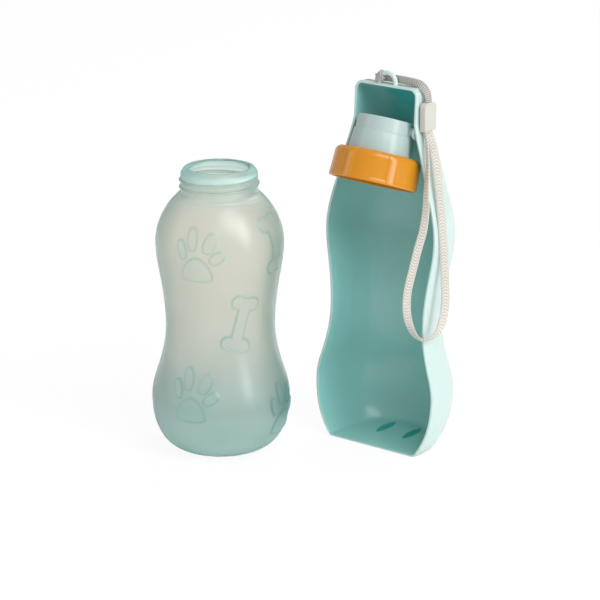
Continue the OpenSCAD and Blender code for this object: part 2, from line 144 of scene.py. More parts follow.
def tintByHeight(tree, stops, across=None):
    # multiplies a material's base colour by colours set at heights in metres,
    # coming in from one place across to another where those are given
    top = 0.24
    shader = tree.nodes["Principled BSDF"]
    base = shader.inputs["Base Color"].links[0].from_socket
    place = addNode(tree, "ShaderNodeTexCoord")
    parts = addNode(tree, "ShaderNodeSeparateXYZ")
    tree.links.new(place.outputs["Object"], parts.inputs["Vector"])
    level = addNode(tree, "ShaderNodeMapRange")
    level.inputs["From Max"].default_value = top
    tree.links.new(parts.outputs["Z"], level.inputs["Value"])
    tint = rampNode(tree, level.outputs["Result"],
                    [(height / top, colour) for height, colour in stops])
    blend = addNode(tree, "ShaderNodeMixRGB", blend_type="MULTIPLY", Fac=1.0)
    tree.links.new(base, blend.inputs["Color1"])
    tree.links.new(tint.outputs["Color"], blend.inputs["Color2"])
    tree.links.new(blend.outputs["Color"], shader.inputs["Base Color"])
    if across:
        share = addNode(tree, "ShaderNodeMapRange", interpolation_type="SMOOTHSTEP")
        share.inputs["From Min"].default_value, share.inputs["From Max"].default_value = across
        tree.links.new(parts.outputs["X"], share.inputs["Value"])
        tree.links.new(share.outputs["Result"], blend.inputs["Fac"])
    return blend.outputs["Color"]


def tintBy(tree, base, source, colour):
    # multiplies a colour where the source is high
    blend = addNode(tree, "ShaderNodeMixRGB", blend_type="MULTIPLY")
    tree.links.new(source, blend.inputs["Fac"])
    tree.links.new(base, blend.inputs["Color1"])
    blend.inputs["Color2"].default_value = colour
    return blend.outputs["Color"]


# frosted translucent plastic: rough glass in part, milky in part, deeper in colour where light
# travels along the wall, and with painted shade in a thin line round the edges of the raised prints
def frostedPlastic(name, settings):
    material = mouldedPlastic(name, rgb(255, 255, 255), rgb(251, 252, 251),
                              settings["roughness"], grain=0.12, coat=0.3)
    tree = material.node_tree
    shader = tree.nodes["Principled BSDF"]
    shader.inputs["Transmission Weight"].default_value = settings["clear"]
    shader.inputs["Coat Roughness"].default_value = 0.2
    colour = tintByHeight(tree, settings["heights"])
    # painted shade: a thin darker line along the edges of the raised prints
    mark = addNode(tree, "ShaderNodeAttribute", attribute_name="printEdge")
    colour = tintBy(tree, colour, mark.outputs["Fac"], settings["printEdgeShade"])
    wall = addNode(tree, "ShaderNodeLayerWeight", Blend=0.3)
    reach = addNode(tree, "ShaderNodeMapRange")
    reach.inputs["From Min"].default_value = 0.25
    tree.links.new(wall.outputs["Facing"], reach.inputs["Value"])
    colour = tintBy(tree, colour, reach.outputs["Result"], settings["wallEdge"])
    tree.links.new(colour, shader.inputs["Base Color"])
    inside = addNode(tree, "ShaderNodeVolumeAbsorption", Density=settings["density"])
    inside.inputs["Color"].default_value = settings["depths"]
    tree.links.new(inside.outputs["Volume"], tree.nodes["Material Output"].inputs["Volume"])
    return material


frost = {
    "heights": [(0.004, rgb(237, 252, 247)), (0.034, rgb(206, 220, 217)),
                (0.064, rgb(253, 245, 237)), (0.15, rgb(253, 245, 237)),
                (0.164, rgb(252, 254, 249))],
    "printEdgeShade": rgb(190, 231, 227),
    "wallEdge": rgb(168, 230, 226),
    "clear": 0.84,
    "roughness": 0.34,
    "density": 122.0,
    "depths": (0.42, 0.87, 0.87, 1.0),
}
# painted shade inside the tray: deeper teal high up towards the right side, and in the heel pockets
trayInsideShade = {
    "heights": [(0.16, (1, 1, 1, 1)), (0.205, rgb(138, 250, 255))],
    "across": (-0.019, -0.004),
    "pocket": rgb(90, 212, 206),
}


# inside of the tray, a darker copy of the tray's plastic: painted shade, deeper in colour high up
# towards the right and in the heel pockets
def shadedInsidePlastic(name, settings):
    material = mouldedPlastic(name, rgb(153, 210, 205), rgb(148, 206, 201), 0.24, coat=0.3)
    tree = material.node_tree
    colour = tintByHeight(tree, settings["heights"], settings["across"])
    # painted shade in the heel pockets
    mark = addNode(tree, "ShaderNodeAttribute", attribute_name="pocket")
    colour = tintBy(tree, colour, mark.outputs["Fac"], settings["pocket"])
    tree.links.new(colour, tree.nodes["Principled BSDF"].inputs["Base Color"])
    return material


# the tray's plastic in two copies: this lighter one, for the outside, the eye and the bosses, is
# painted light; the darker one inside is painted shade
trayPlastic = mouldedPlastic("trayPlastic", rgb(205, 226, 222), rgb(201, 223, 219), 0.3, coat=0.2)
trayShadedInside = shadedInsidePlastic("trayShadedInside", trayInsideShade)
spoutPlastic = mouldedPlastic("spoutPlastic", rgb(180, 199, 196), rgb(176, 196, 193), 0.32,
                              coat=0.2)
amberPlastic = mouldedPlastic("amberPlastic", rgb(216, 142, 10), rgb(209, 135, 8), 0.26, coat=0.3)
beadPlastic = mouldedPlastic("beadPlastic", rgb(208, 207, 199), rgb(201, 200, 191), 0.38,
                             grain=0.1)
silicone = mouldedPlastic("silicone", rgb(232, 236, 232), rgb(222, 228, 224), 0.5, grain=0.1)
frosted = frostedPlastic("frosted", frost)


# woven band, patterned on its own UV map: u across its width, v along it in widths
def wovenBand(name, light, dark, rows, chevron, depth):
    material, tree, shader = newMaterial(name)
    uv = addNode(tree, "ShaderNodeUVMap", uv_map="band")
    parts = addNode(tree, "ShaderNodeSeparateXYZ")
    tree.links.new(uv.outputs["UV"], parts.inputs["Vector"])

    def calc(operation, first, second=None):
        node = addNode(tree, "ShaderNodeMath", operation=operation)
        for socket, value in zip(node.inputs, (first, second)):
            if isinstance(value, (int, float)):
                socket.default_value = value
            elif value is not None:
                tree.links.new(value, socket)
        return node.outputs["Value"]

    side = calc("ABSOLUTE", calc("SUBTRACT", parts.outputs["X"], 0.5))
    lean = calc("ADD", parts.outputs["Y"], calc("MULTIPLY", side, chevron))
    ridge = calc("SINE", calc("MULTIPLY", lean, rows * math.tau))
    yarn = calc("SINE", calc("MULTIPLY", parts.outputs["X"], 9 * math.tau))
    height = calc("ADD", calc("MULTIPLY", ridge, 0.5), calc("MULTIPLY", yarn, 0.22))
    # colour follows the weave's relief: its two-tone yarn pattern, and painted shade, darker down
    # in the grooves between the ridges
    level = addNode(tree, "ShaderNodeMapRange")
    level.inputs["From Min"].default_value = -0.7
    level.inputs["From Max"].default_value = 0.7
    tree.links.new(height, level.inputs["Value"])
    tint = rampNode(tree, level.outputs["Result"], [(0.1, dark), (0.6, light)])
    place = addNode(tree, "ShaderNodeTexCoord")
    fuzz = addNode(tree, "ShaderNodeTexNoise", Scale=900.0, Detail=4.0)
    tree.links.new(place.outputs["Object"], fuzz.inputs["Vector"])
    blend = addNode(tree, "ShaderNodeMixRGB", blend_type="MULTIPLY")
    blend.inputs["Fac"].default_value = 0.18
    tree.links.new(tint.outputs["Color"], blend.inputs["Color1"])
    tree.links.new(fuzz.outputs["Color"], blend.inputs["Color2"])
    tree.links.new(blend.outputs["Color"], shader.inputs["Base Color"])
    bumpNode(tree, height, shader, 0.7, depth)
    shader.inputs["Roughness"].default_value = 0.85
    shader.inputs["Sheen Weight"].default_value = 0.25
    shader.inputs["Sheen Roughness"].default_value = 0.5
    return material


creamWeave = wovenBand("creamWeave", rgb(240, 236, 228), rgb(206, 199, 186), 2.6, 0.9, 0.0003)
greyWeave = wovenBand("greyWeave", rgb(204, 201, 195), rgb(138, 135, 128), 4.0, 0.0, 0.0003)
print("materials made")


# mesh helpers
def lathe(points, steps):
    bm = bmesh.new()
    ring = [bm.verts.new((r, 0, z)) for r, z in points]
    edges = [bm.edges.new(pair) for pair in zip(ring, ring[1:])]
    bmesh.ops.spin(bm, geom=ring + edges, cent=(0, 0, 0), axis=(0, 0, 1), dvec=(0, 0, 0),
                   angle=math.tau, steps=steps, use_merge=True)
    bmesh.ops.remove_doubles(bm, verts=bm.verts, dist=0.0005)
    bmesh.ops.recalc_face_normals(bm, faces=bm.faces)
    return bm


def roundedCorners(corners, radius, steps=4):
    # each corner of an outline becomes an arc, or keeps its own radius where it states one
    result = []
    for i, corner in enumerate(corners):
        here = Vector(corner[:2])
        size = corner[2] if len(corner) > 2 else radius
        if i in (0, len(corners) - 1) or size == 0:
            result.append(tuple(here))
            continue
        before = Vector(corners[i - 1][:2]) - here
        after = Vector(corners[i + 1][:2]) - here
        cut = min(size, before.length * 0.45, after.length * 0.45)
        start = here + before.normalized() * cut
        end = here + after.normalized() * cut
        for step in range(steps + 1):
            t = step / steps
            result.append(tuple((1 - t) ** 2 * start + 2 * t * (1 - t) * here + t * t * end))
    return result


def curveThrough(stations, spacing):
    # smooth outline through [height, radius, slope] stations
    points = []
    for (z0, r0, s0), (z1, r1, s1) in zip(stations, stations[1:]):
        span = z1 - z0
        count = max(2, round(span / spacing))
        for i in range(count):
            t = i / count
            r = ((2 * t ** 3 - 3 * t * t + 1) * r0 + (t ** 3 - 2 * t * t + t) * span * s0
                 + (3 * t * t - 2 * t ** 3) * r1 + (t ** 3 - t * t) * span * s1)
            points.append((r, z0 + span * t))
    points.append((stations[-1][1], stations[-1][0]))
    return points


def finishPiece(bm, name, material, body, place=None, sharp=40.0):
    if place is not None:
        bmesh.ops.transform(bm, matrix=place, verts=bm.verts)
    bmesh.ops.scale(bm, vec=(0.001, 0.001, 0.001), verts=bm.verts)
    bmesh.ops.recalc_face_normals(bm, faces=bm.faces)
    for face in bm.faces:
        face.smooth = True
    mesh = bpy.data.meshes.new(name)
    bm.to_mesh(mesh)
    bm.free()
    mesh.set_sharp_from_angle(angle=math.radians(sharp))
    mesh.materials.append(material)
    piece = bpy.data.objects.new(name, mesh)
    bpy.context.scene.collection.objects.link(piece)
    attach(piece, body)
    return piece


def addMesh(bm, other, matrix=None):
    # joins another bmesh into this one
    if matrix is not None:
        bmesh.ops.transform(other, matrix=matrix, verts=other.verts)
    scratch = bpy.data.meshes.new("scratch")
    other.to_mesh(scratch)
    other.free()
    bm.from_mesh(scratch)
    bpy.data.meshes.remove(scratch)


def roundBar(radius, length, rim):
    bm = bmesh.new()
    bmesh.ops.create_cone(bm, cap_ends=True, segments=48, radius1=radius, radius2=radius,
                          depth=length)
    rims = [e for e in bm.edges
            if len(e.link_faces) == 2 and any(len(f.verts) > 4 for f in e.link_faces)]
    bmesh.ops.bevel(bm, geom=rims, offset=rim, segments=3, profile=0.5, affect="EDGES",
                    material=-1)
    return bm


def turned(degrees, axis):
    return Matrix.Rotation(math.radians(degrees), 4, axis)


# where the pieces stand: the tray leans back about the front edge of its floor
stance = {
    "bottleAt": (-74.5, -60.4, 0),
    "trayFront": -7.5,
    "trayLean": -3,
    "trayTop": 223.8,
}
onBottle = Matrix.Translation(stance["bottleAt"])
inTray = Matrix.Translation((0, stance["trayFront"], 0)) @ turned(stance["trayLean"], "X") \
    @ Matrix.Translation((0, -stance["trayFront"], 0))

# fold hinge: the spout's place in the tray, and the bosses that hold it
hinge = {
    "back": 5.0,
    "height": 196.5,
    "tilt": 17.5,
    "fore": 4.4,
    "bossRadius": 4.2,
    "bossThick": 1.9,
    "bossAt": 20.55,
}
onHinge = inTray @ Matrix.Translation((0, hinge["back"] + stance["trayFront"], hinge["height"]))
inSpout = onHinge @ turned(-hinge["tilt"], "X") @ Matrix.Translation((0, -hinge["fore"], 0))

# eye for a lanyard on the tray's top
lanyardEye = {
    "width": 14.5,
    "bar": 2.8,
    "leg": 0.75,
    "set": 0.2,
}
eyeBack = stance["trayFront"] + lanyardEye["bar"] / 2 + lanyardEye["set"]
onEye = inTray @ Matrix.Translation((0, eyeBack, stance["trayTop"] + lanyardEye["leg"])) \
    @ turned(90, "X")


# wrist strap
strap = {
    "view": (-0.62, 0.78, 0.0),
    "webWidth": 5.0,
    "webThick": 1.2,
    "tapeWidth": 4.8,
    "tapeThick": 1.2,
    "loopGap": 0.3,
    "loopStart": 125,
    # routes: place, and the turn of the width out of the plane that faces the front right
    "tapeRoute": [(26, 10.9, 213, 40), (26, 10.9, 217, 36), (25.4, 10.5, 220.4, 30),
                  (23.6, 9.8, 223.4, 20), (20.8, 9.2, 225.4, 10), (16, 9, 226.1, 0),
                  (11, 9, 226.3, 0), (6, 9, 226.4, 0), (1, 8.9, 226.5, 0),
                  (-3, 8.6, 226.5, 0), (-6.6, 8, 226.4, 0), (-9.4, 7, 226, -10)],
    "webRoute": [(26.2, 7.5, 200, 70), (26.7, 7.3, 196, 72), (29, 6, 191, 74),
                 (32.4, 2.2, 181, 72), (34, -0.4, 172, 64), (34.4, -1.6, 163, 52),
                 (35.2, -2.8, 154, 38), (34.2, -3.8, 142, 20), (31.8, -5.6, 130, 8),
                 (29.2, -6.6, 118, 0), (26.6, -7.4, 106, 0), (25.6, -7.8, 96, 0),
                 (26.6, -7.7, 87, 12), (29.2, -7.3, 80.6, 35), (33, -6.9, 76.4, 55),
                 (37, -5.8, 75, 64), (41, -2.8, 76.6, 55), (43.8, -0.2, 80.6, 35),
                 (45, 2.2, 87, 14), (45.4, 3.8, 96, 4), (44.8, 4.6, 106, 0),
                 (44, 4.6, 118, 0), (43.4, 4.4, 130, 0), (42, 4.6, 143, 0),
                 (40, 5.2, 156, 0), (37.4, 6.4, 168, 0), (34.4, 8, 179, 0),
                 (31.2, 9.8, 188, 0), (27.6, 11.2, 194.4, 6), (26.2, 11.6, 197, 10),
                 (26, 11.7, 200, 12)],
    "beadMiddle": (26.1, 10.9, 198.0),
    "beadSize": (4.2, 11.3, 17.0),
    "beadRound": 0.7,
}


def smoothRoute(route, spacing):
    # Catmull-Rom curve through the route's points, each with its turn
    keys = [Vector(p) for p in route]
    keys = [keys[0] * 2 - keys[1]] + keys + [keys[-1] * 2 - keys[-2]]
    points = []
    for i in range(1, len(keys) - 2):
        a, b, c, d = keys[i - 1:i + 3]
        count = max(1, round((c - b).to_3d().length / spacing))
        for step in range(count):
            t = step / count
            points.append(0.5 * (2 * b + (c - a) * t + (2 * a - 5 * b + 4 * c - d) * t * t
                                 + (3 * b - a - 3 * c + d) * t ** 3))
    points.append(keys[-2])
    return points


def bandMesh(route, width, thick):
    sides = 20
    points = smoothRoute(route, 0.9)
    bm = bmesh.new()
    uvLayer = bm.loops.layers.uv.new("band")
    view = Vector(strap["view"])
    rings, marks, travelled = [], [], 0.0
    for i, point in enumerate(points):
        ahead = points[min(i + 1, len(points) - 1)].to_3d() - points[max(i - 1, 0)].to_3d()
        ahead.normalize()
        across = ahead.cross(view).normalized()
        face = ahead.cross(across)
        turn = math.radians(point[3])
        if i:
            travelled += (point.to_3d() - points[i - 1].to_3d()).length
        ring = []
        for s in range(sides):
            angle = math.tau * s / sides
            c, sn = math.cos(angle), math.sin(angle)
            u = width / 2 * math.copysign(abs(c) ** 0.5, c)  # flat oval
            v = thick / 2 * math.copysign(abs(sn) ** 0.8, sn)
            ring.append(bm.verts.new(point.to_3d()
                                     + across * (u * math.cos(turn) - v * math.sin(turn))
                                     + face * (u * math.sin(turn) + v * math.cos(turn))))
        rings.append(ring)
        marks.append(travelled / width)

    def acrossUv(s):
        return 0.5 + 0.5 * math.cos(math.tau * s / sides)

    for i in range(len(rings) - 1):
        for s in range(sides):
            t = (s + 1) % sides
            quad = bm.faces.new((rings[i][s], rings[i][t], rings[i + 1][t], rings[i + 1][s]))
            corners = ((s, i), (t, i), (t, i + 1), (s, i + 1))
            for loop, (column, row) in zip(quad.loops, corners):
                loop[uvLayer].uv = (acrossUv(column), marks[row])
    bm.faces.new(reversed(rings[0]))
    bm.faces.new(rings[-1])
    return bm, [p.to_3d() * 0.001 for p in points], travelled * 0.001


bandBm, webPath, webLength = bandMesh(strap["webRoute"], strap["webWidth"], strap["webThick"])
webbing = finishPiece(bandBm, "wristWebbing", creamWeave, "tray", sharp=60)
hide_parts("strap_webbing")

bandBm, tapePath, tapeLength = bandMesh(strap["tapeRoute"], strap["tapeWidth"], strap["tapeThick"])
tape = finishPiece(bandBm, "greyTape", greyWeave, "tray", sharp=60)
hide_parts("strap_tape")
print("strap laid: webbing", round(webLength * 1000), "mm, tape",
      round(tapeLength * 1000), "mm")


# sewn loop of the tape round the upper left of the eye
def tapeLoop(eye):
    bm = bmesh.new()
    inner = eye["bar"] / 2 + strap["loopGap"]
    outer = inner + strap["tapeThick"]
    middle, count = (eye["width"] - eye["bar"]) / 2, 40
    sweep = strap["tapeWidth"] / middle
    loops = []
    for radius in (inner, outer):
        ring = [bm.verts.new((middle + radius * math.cos(math.tau * i / count), 0,
                              radius * math.sin(math.tau * i / count))) for i in range(count)]
        loops.append([bm.edges.new((ring[i], ring[(i + 1) % count])) for i in range(count)])
    wall = bmesh.ops.bridge_loops(bm, edges=loops[0] + loops[1])["faces"]
    bmesh.ops.spin(bm, geom=wall + loops[0] + loops[1] + list(bm.verts), cent=(0, 0, 0),
                   axis=(0, 0, 1), dvec=(0, 0, 0), angle=sweep, steps=12)
    bmesh.ops.remove_doubles(bm, verts=bm.verts, dist=0.001)
    uvLayer = bm.loops.layers.uv.new("band")
    for face in bm.faces:
        for loop in face.loops:
            x, y, z = loop.vert.co
            along = math.atan2(z, math.hypot(x, y) - middle) * outer
            loop[uvLayer].uv = (math.atan2(y, x) / sweep, along / strap["tapeWidth"])
    return finishPiece(bm, "tapeLoop", greyWeave, "tray", onEye @ turned(strap["loopStart"], "Z"),
                       sharp=50)


loopPiece = tapeLoop(lanyardEye)


# bead that joins the tape and the webbing
def bead(settings):
    bm = bmesh.new()
    bmesh.ops.create_cube(bm, size=1)
    thick, width, height = settings["beadSize"]
    dome = width / 4
    bmesh.ops.scale(bm, vec=(thick, width, height), verts=bm.verts)
    bmesh.ops.translate(bm, vec=(0, 0, height / 2), verts=bm.verts)
    shoulders = [e for e in bm.edges if all(v.co.z > height - 0.01 for v in e.verts)
                 and abs(e.verts[0].co.x - e.verts[1].co.x) > 1]
    bmesh.ops.bevel(bm, geom=shoulders, offset=dome, segments=8, profile=0.5, affect="EDGES",
                    material=-1)
    rims = [e for e in bm.edges if len(e.link_faces) == 2 and e.calc_face_angle(0) > 0.6]
    bmesh.ops.bevel(bm, geom=rims, offset=settings["beadRound"], segments=4, profile=0.5,
                    affect="EDGES", clamp_overlap=True, material=-1)
    return finishPiece(bm, "strapBead", beadPlastic, "tray",
                       Matrix.Translation(settings["beadMiddle"]), sharp=50)


beadPiece = bead(strap)
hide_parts("strap_bead")
print("bead made")


# bottle
bottle = {
    "height": 174.6,
    "wall": 1.2,
    "crease": 157.4,
    "baseFlat": 19.28,
    "baseRound": 20.0,
    "baseAngle": 60,
    # stations of the side: height, radius and slope
    "stations": [(10.0, 36.6, 0.577), (33.5, 41.8, 0), (55.75, 36.35, -0.28), (78, 32.9, 0),
                 (105.5, 35.5, 0.17), (129, 38.5, 0), (148.3, 33, -0.58), (159.8, 23, -1.3)],
    "neckRadius": 23.0,
    "mouthRadius": 18.2,
    "lipWidth": 2.0,
    "turns": 330,
    "threadPitch": 4.3,
    "threadTurns": 1.85,
    "threadStart": 125,
    "threadDepth": 1.0,
    "threadFoot": 160.2,
    "printProud": 0.8,
    "printEdge": 1.1,
    # prints: bearing from the side that faces the front right, height and turn
    "facing": -49.8,
    "paws": [(-21.3, 121.2, 0), (-26.3, 35, 0), (62, 21.5, 0), (158.7, 121.2, 0),
             (153.7, 35, 0)],
    "bones": [(20.6, 86.5, -13), (58, 132.5, 8), (200.6, 86.5, -13)],
    "padWidth": 18.6,
    # in shares of the pad's width. toes: across, up, width, length, turn. discs: across, up, radius
    "toes": [(-0.49, 0.62, 0.28, 0.6, 14), (-0.14, 0.97, 0.32, 0.7, 3),
             (0.43, 0.86, 0.38, 0.64, -20), (0.65, 0.4, 0.33, 0.5, -52)],
    "padDiscs": [(0, 1.2, 1.6), (0.22, -0.27, 0.72), (-0.22, -0.27, 0.72), (0, -0.13, 0.52)],
    "boneLength": 26,
    "boneWidth": 7,
}


def toeEdge(x, y, cx, cy, width, length, turn):
    # distance from the edge of a leaf with blunt ends, negative inside
    c, s = math.cos(math.radians(turn)), math.sin(math.radians(turn))
    dx, dy = (x - cx) * c + (y - cy) * s, -(x - cx) * s + (y - cy) * c
    reach = (1.9 * length * length + width * width) / (4 * width)
    return max(math.hypot(abs(dx) + reach - width / 2, dy) - reach, math.hypot(dx, dy) - length / 2)


def pawEdge(x, y):
    # distance from the edge of a paw print: a three-sided pad and four toes
    size = bottle["padWidth"]
    x, y = x / size, y / size
    pad = max(math.hypot(x - across, y - up) - radius for across, up, radius in bottle["padDiscs"])
    return min([pad] + [toeEdge(x, y, *toe) for toe in bottle["toes"]]) * size


def boneEdge(x, y):
    width, end = bottle["boneWidth"], bottle["boneLength"] / 2
    bar = max(abs(x) - width / 2, abs(y) - end)
    return min(bar, math.hypot(abs(x) - width * 0.63, abs(y) - end) - width * 0.61,
               math.hypot(x, abs(y) - end) - width * 0.53)


def raisePrints(bm, radiusAt):
    prints = [(p, pawEdge, 28) for p in bottle["paws"]]
    prints += [(b, boneEdge, 20) for b in bottle["bones"]]
    mark = bm.verts.layers.float.new("printEdge")
    soft = bottle["printEdge"]
    for vert in bm.verts:
        x, y, z = vert.co
        r = math.hypot(x, y)
        if z < 5 or z > 158 or r < radiusAt(z) - 0.5:
            continue
        angle = math.atan2(y, x)
        for (bearing, height, turn), edge, reach in prints:
            if abs(z - height) > reach:
                continue
            away = angle - math.radians(bottle["facing"] + bearing)
            if math.cos(away) < 0.5:
                continue
            u, v = r * math.sin(away), z - height
            c, s = math.cos(math.radians(turn)), math.sin(math.radians(turn))
            d = edge(u * c + v * s, -u * s + v * c)
            if d < soft:
                out = 1 + bottle["printProud"] * ease((soft / 2 - d) / soft) / r
                vert.co = (x * out, y * out, z)
                # mask for the painted shade line along the print's edge
                vert[mark] = math.exp(-(d / 0.5) ** 2)
                break


def makeBottle(settings):
    h, wall, neck = settings["height"], settings["wall"], settings["neckRadius"]
    lip = settings["mouthRadius"] + settings["lipWidth"]
    crease = settings["crease"]
    outside = curveThrough(settings["stations"][:-1], 0.75)[:-1]
    # a crease under the neck, with a soft ridge above it
    outside += [(r - 0.4 * math.exp(-((z - crease) / 0.35) ** 2)
                 + 0.2 * math.exp(-((z - crease - 0.9) / 0.35) ** 2), z)
                for r, z in curveThrough(settings["stations"][-2:], 0.25)]
    inside = [(r - wall, z) for r, z in curveThrough(settings["stations"], 3.0) if z < 157.5]
    flat, arc = settings["baseFlat"], settings["baseRound"]
    angles = [math.radians(a) for a in range(0, settings["baseAngle"], 3)]
    foot = roundedCorners([(0, 1.4), (14, 1.0, 2), (17, 0.0, 1.5), (flat, 0)], 1)
    foot += [(flat + arc * math.sin(a), arc - arc * math.cos(a)) for a in angles[1:]]
    mouth, neckInside = settings["mouthRadius"], neck - wall - 0.2
    neckLine = roundedCorners([outside[-1], (neck, 160.6, 0.5), (neck, h - 3.4, 0.6),
                               (neck - 0.8, h - 1.7, 0.6), (lip + 0.9, h - 0.5, 0.5),
                               (lip, h, 0.4), (mouth, h, 0.5), (mouth, h - 3.6, 0.4),
                               (neckInside, h - 6, 0.5), (neckInside, 159.8, 0.5),
                               inside[-1]], 0.5)
    inner = list(reversed(inside))[1:]
    inner += [(flat + (arc - wall) * math.sin(a), arc - (arc - wall) * math.cos(a))
              for a in reversed(angles[::2])]
    points = foot + outside[:-1] + neckLine + inner + [(14, 2.2), (0, 2.6)]
    bm = lathe(points, settings["turns"])
    rows = [(z, r) for r, z in outside]

    def radiusAt(z):
        for (z0, r0), (z1, r1) in zip(rows, rows[1:]):
            if z <= z1:
                return mix(r0, r1, (z - z0) / (z1 - z0))
        return rows[-1][1]

    table = {}
    raisePrints(bm, lambda z: table.setdefault(round(z, 2), radiusAt(z)))
    return bm


def neckThread(settings):
    # one ridge wound round the neck, fading at both ends
    bm = bmesh.new()
    sunk, steps, pitch = 0.15, 64, settings["threadPitch"]
    root, depth = settings["neckRadius"] - sunk, settings["threadDepth"] + sunk
    shape = [(0, -1.0), (depth * 0.8, -0.45), (depth, -0.15),
             (depth, 0.15), (depth * 0.8, 0.45), (0, 1.0)]
    ring = [bm.verts.new((root + r, 0, z)) for r, z in shape]
    edges = [bm.edges.new((ring[i], ring[(i + 1) % len(ring)])) for i in range(len(ring))]
    count = round(steps * settings["threadTurns"])
    bmesh.ops.spin(bm, geom=ring + edges, cent=(0, 0, 0), axis=(0, 0, 1),
                   dvec=(0, 0, pitch / steps), angle=math.tau * count / steps, steps=count)
    rise = pitch * count / steps
    for vert in bm.verts:
        x, y, z = vert.co
        part = math.atan2(y, x) / math.tau
        along = (round(z / pitch - part) + part) * pitch
        fade = ease(min(along, rise - along) / 1.2 + 0.05)
        r = math.hypot(x, y)
        if r > root:
            scale = (root + (r - root) * fade) / r
            vert.co = (x * scale, y * scale, z)
    bmesh.ops.holes_fill(bm, edges=[e for e in bm.edges if e.is_boundary], sides=0)
    start = settings["threadStart"]
    bmesh.ops.rotate(bm, cent=(0, 0, 0), matrix=turned(start, "Z"), verts=bm.verts)
    bmesh.ops.translate(bm, vec=(0, 0, settings["threadFoot"] + pitch * start / 360),
                        verts=bm.verts)
    return bm


bottlePiece = finishPiece(makeBottle(bottle), "waterBottle", frosted, "bottle", onBottle,
                          sharp=60)
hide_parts("bottle")
threadPiece = finishPiece(neckThread(bottle), "neckThread", frosted, "bottle", onBottle,
                          sharp=60)
print("bottle made:", len(bottlePiece.data.polygons), "faces")


# tray
tray = {
    "height": stance["trayTop"],
    "wall": 1.8,
    "floor": 1.2,
    "rise": 3.3,
    "side": -stance["trayFront"],
    "baseHalf": 30.2,
    "gap": 0.5,
    "lift": 3.7,
    "topHalf": 22.9,
    "topLength": 21.6,
    "shoulder": (32.7, 9.5),
    "cornerRadius": 5.5,
    "backRadius": 28.0,
    "columns": 200,
    "rimRound": 0.6,
    "floorBlend": 1.6,
    "pocketPlace": (10.0, 21.45),
    "pocketSize": (6.4, 21.0, 1.9),
}


def trayStations(settings):
    out = settings["wall"] + settings["gap"]
    lift, top = settings["lift"], settings["topHalf"]
    kink = settings["height"] - settings["topLength"]
    long, gain = settings["shoulder"]
    rows = [(2.0, settings["baseHalf"] + 3.4, 0.75)]
    rows += [(z + lift, r + out, s) for z, r, s in bottle["stations"][1:6]]
    rows += [(kink - long, top + gain, -0.27), (kink - long * 0.45, top + gain * 0.43, -0.34),
             (kink, top, -0.2)]
    return rows


def trayOutline(settings, inset):
    # half width and height, from the middle of the floor to the middle of the top
    base, top = settings["baseHalf"] - inset, settings["topHalf"] - inset
    h, corner = settings["height"] - inset, settings["cornerRadius"] - inset
    side = [(w - inset, z) for w, z in curveThrough(trayStations(settings), 1.6)]
    low = -2.5 if inset else 0.0
    floorPart = [(w, low) for w in (0, 4, 7, 9)] + [(9 + w * 0.7, low) for w in range(1, 28)]
    floorPart += [(base, low), (base + 0.7, low + 0.02), (base + 1.6, 0.35 + low * 0.4)]
    if inset:
        floorPart += [(base + 2.4, -0.2), (base + 3.0, 0.9)]
    straight = [(top, z) for z in (side[-1][1] + 5, side[-1][1] + 10, side[-1][1] + 14)]
    bend = [(top - corner + corner * math.cos(a), h - corner + corner * math.sin(a))
            for a in [math.radians(9 * i) for i in range(11)]]
    flat = [(w * (top - corner), h) for w in (0.85, 0.7, 0.55, 0.4, 0.25, 0.12, 0)]
    return floorPart + side + straight + bend + flat


def pocketDepth(settings, x, y):
    # depth of the two spindle-shaped heel pockets in the floor
    width, length, depth = settings["pocketSize"]
    r = (width * width / 4 + depth * depth) / (2 * depth)
    along = (y - settings["pocketPlace"][1]) / (length / 2 / math.sqrt(depth / r))
    across = abs(x) - settings["pocketPlace"][0]
    ring = r * (1 - along * along)
    if ring <= abs(across):
        return 0.0
    return max(math.sqrt(ring * ring - across * across) - (r - depth), 0.0)


def traySkin(settings, inset):
    outline = trayOutline(settings, inset)
    columns = settings["columns"]
    bm = bmesh.new()
    bmesh.ops.create_grid(bm, x_segments=columns, y_segments=len(outline) - 1, size=1)
    backCentre = settings["topHalf"] - settings["backRadius"]
    backTop = settings["height"] - settings["backRadius"]
    backR = settings["backRadius"] - inset
    slope, soft = math.tan(math.radians(settings["rise"])), settings["floorBlend"] / 2
    pocketShadeLayer = bm.verts.layers.float.new("pocket")
    sideShare = 0.06  # columns on each straight side wall
    for vert in bm.verts:
        s = (vert.co.x + 1) / 2
        w, z = outline[round((vert.co.y + 1) / 2 * (len(outline) - 1))]
        if s < sideShare:
            x, y = w, mix(-settings["side"], 0, s / sideShare)
        elif s > 1 - sideShare:
            x, y = -w, mix(-settings["side"], 0, (1 - s) / sideShare)
        else:
            angle = math.pi * (s - sideShare) / (1 - 2 * sideShare)
            x, y = w * math.cos(angle), w * math.sin(angle)
        if z > backTop:
            limit = backCentre + math.sqrt(max(backR ** 2 - (z - backTop) ** 2, 0))
            y = -2.0 * math.log(math.exp(-y / 2.0) + math.exp(-limit / 2.0)) if y > 0 else y
        co = inTray @ Vector((x, y, z))
        if not inset:
            co.z = max(co.z, 0.0)
        elif co.z < 30:
            floorAt = settings["floor"] + (co.y + settings["side"]) * slope
            depth = pocketDepth(settings, co.x, co.y) if co.z < floorAt else 0.0
            co.z = floorAt + soft * math.log(1 + math.exp((co.z - floorAt) / soft)) - depth
            # painted shade mask: deeper teal where the heel pockets sink into the floor
            vert[pocketShadeLayer] = min(depth * 1.5, 1.0)
        vert.co = co
    bmesh.ops.remove_doubles(bm, verts=bm.verts, dist=0.02)
    return bm


